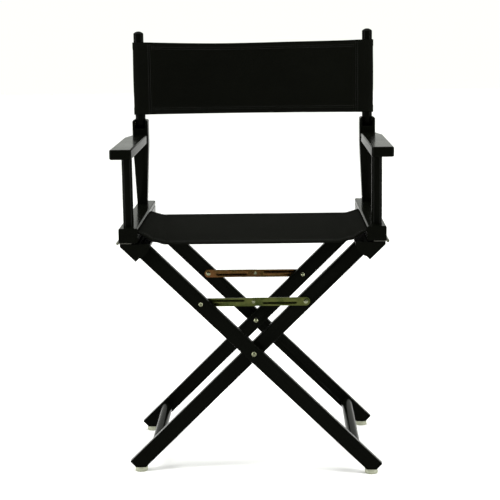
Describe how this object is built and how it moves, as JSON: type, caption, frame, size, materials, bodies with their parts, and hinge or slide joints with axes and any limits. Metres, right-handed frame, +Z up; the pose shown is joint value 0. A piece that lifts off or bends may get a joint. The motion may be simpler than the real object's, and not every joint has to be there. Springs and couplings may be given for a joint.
{
  "type": "director chair",
  "caption": "Folding director chair: canvas seat and back on black wooden side frames, carried by crossed legs with folding metal stays.",
  "frame": {"origin": "on the floor, at the middle of the seat rails from side to side and from front to back", "axes": "+Z up, +Y towards the back of the chair, +X towards the right as seen from the front"},
  "size_m": [0.558, 0.416, 0.89],
  "materials": {
    "black_wood": "black satin lacquer",
    "canvas": "black cotton canvas, plain weave",
    "rod_wood": "bare dowel",
    "glide_plastic": "moulded cream plastic",
    "stay_brass": "thin bright brass plating",
    "stay_copper": "thin reddish brass plating",
    "bright_metal": "bright nickel plating"
  },
  "bodies": {
    "left_side": {"seat_rail_left": "black_wood", "armrest_left": "black_wood", "front_post_left": "black_wood", "rear_post_left": "black_wood", "seat_rod_left": "rod_wood", "back_pin_left": "bright_metal", "seat_canvas": "canvas", "rail_hinge_leaves_left": "bright_metal", "hinge_pins_left": "bright_metal", "rail_hinge_screws_left": "bright_metal", "arm_screws_left": "bright_metal", "post_screws_left": "bright_metal"},
    "right_side": {"seat_rail_right": "black_wood", "armrest_right": "black_wood", "front_post_right": "black_wood", "rear_post_right": "black_wood", "seat_rod_right": "rod_wood", "back_pin_right": "bright_metal", "rail_hinge_leaves_right": "bright_metal", "hinge_pins_right": "bright_metal", "rail_hinge_screws_right": "bright_metal", "arm_screws_right": "bright_metal", "post_screws_right": "bright_metal"},
    "outer_legs": {"front_leg_outer": "black_wood", "rear_leg_outer": "black_wood", "stretcher_outer": "black_wood", "top_bar_outer": "black_wood", "glides_outer": "glide_plastic", "bar_hinge_leaves_outer": "bright_metal", "bar_hinge_screws_outer": "bright_metal", "pivot_bolt_front": "bright_metal", "pivot_bolt_rear": "bright_metal", "pivot_nuts": "bright_metal", "pivot_spacers": "bright_metal", "stay_screws_outer": "bright_metal", "stay_nuts_outer": "bright_metal", "stay_washers_outer": "bright_metal"},
    "inner_legs": {"front_leg_inner": "black_wood", "rear_leg_inner": "black_wood", "stretcher_inner": "black_wood", "top_bar_inner": "black_wood", "glides_inner": "glide_plastic", "bar_hinge_leaves_inner": "bright_metal", "bar_hinge_screws_inner": "bright_metal", "stay_screws_inner": "bright_metal", "stay_nuts_inner": "bright_metal", "stay_washers_inner": "bright_metal"},
    "left_back_post": {"back_dowel_left": "black_wood", "back_canvas": "canvas"},
    "right_back_post": {"back_dowel_right": "black_wood"},
    "front_left_stay": {"stay_link_front_left": "stay_brass", "stay_rivet_front_head": "bright_metal"},
    "front_right_stay": {"stay_link_front_right": "stay_brass", "stay_rivet_front_tail": "bright_metal"},
    "rear_left_stay": {"stay_link_rear_left": "stay_copper", "stay_rivet_rear_tail": "bright_metal"},
    "rear_right_stay": {"stay_link_rear_right": "stay_copper", "stay_rivet_rear_head": "bright_metal"}
  },
  "joints": [
    {"name": "fold", "type": "hinge", "parent": "left_side", "child": "outer_legs", "pos_m": [-0.2665, 0, 0.4805], "axis": [0, 1, 0], "range_deg": [0, 39], "deforming": ["seat_canvas", "back_canvas"]},
    {"name": "cross_pivot", "type": "hinge", "parent": "outer_legs", "child": "inner_legs", "pos_m": [0, 0, 0.2515], "axis": [0, 1, 0], "range_deg": [-78, 0]},
    {"name": "right_side_hinge", "type": "hinge", "parent": "inner_legs", "child": "right_side", "pos_m": [0.2665, 0, 0.4805], "axis": [0, 1, 0], "range_deg": [0, 39]},
    {"name": "back_fold", "type": "hinge", "parent": "left_side", "child": "left_back_post", "pos_m": [-0.25, 0.167, 0.69], "axis": [1, 0, 0], "range_deg": [0, 90]},
    {"name": "right_back_fold", "type": "hinge", "parent": "right_side", "child": "right_back_post", "pos_m": [0.25, 0.167, 0.69], "axis": [1, 0, 0], "range_deg": [0, 90]},
    {"name": "front_left_stay_hinge", "type": "hinge", "parent": "outer_legs", "child": "front_left_stay", "pos_m": [-0.105, 0, 0.35446], "axis": [0, 1, 0], "range_deg": [0, 40.95]},
    {"name": "front_right_stay_hinge", "type": "hinge", "parent": "inner_legs", "child": "front_right_stay", "pos_m": [0.105, 0, 0.35446], "axis": [0, 1, 0], "range_deg": [-40.95, 0]},
    {"name": "rear_left_stay_hinge", "type": "hinge", "parent": "outer_legs", "child": "rear_left_stay", "pos_m": [-0.105, 0, 0.35446], "axis": [0, 1, 0], "range_deg": [0, 40.95]},
    {"name": "rear_right_stay_hinge", "type": "hinge", "parent": "inner_legs", "child": "rear_right_stay", "pos_m": [0.105, 0, 0.35446], "axis": [0, 1, 0], "range_deg": [-40.95, 0]}
  ],
  "couplings": [
    {"joint": "cross_pivot", "follows": "fold", "ratio": -2},
    {"joint": "right_side_hinge", "follows": "fold", "ratio": 1},
    {"joint": "right_back_fold", "follows": "back_fold", "ratio": 1},
    {"joint": "front_left_stay_hinge", "follows": "fold", "ratio": 1.05},
    {"joint": "front_right_stay_hinge", "follows": "fold", "ratio": -1.05},
    {"joint": "rear_left_stay_hinge", "follows": "fold", "ratio": 1.05},
    {"joint": "rear_right_stay_hinge", "follows": "fold", "ratio": -1.05}
  ]
}
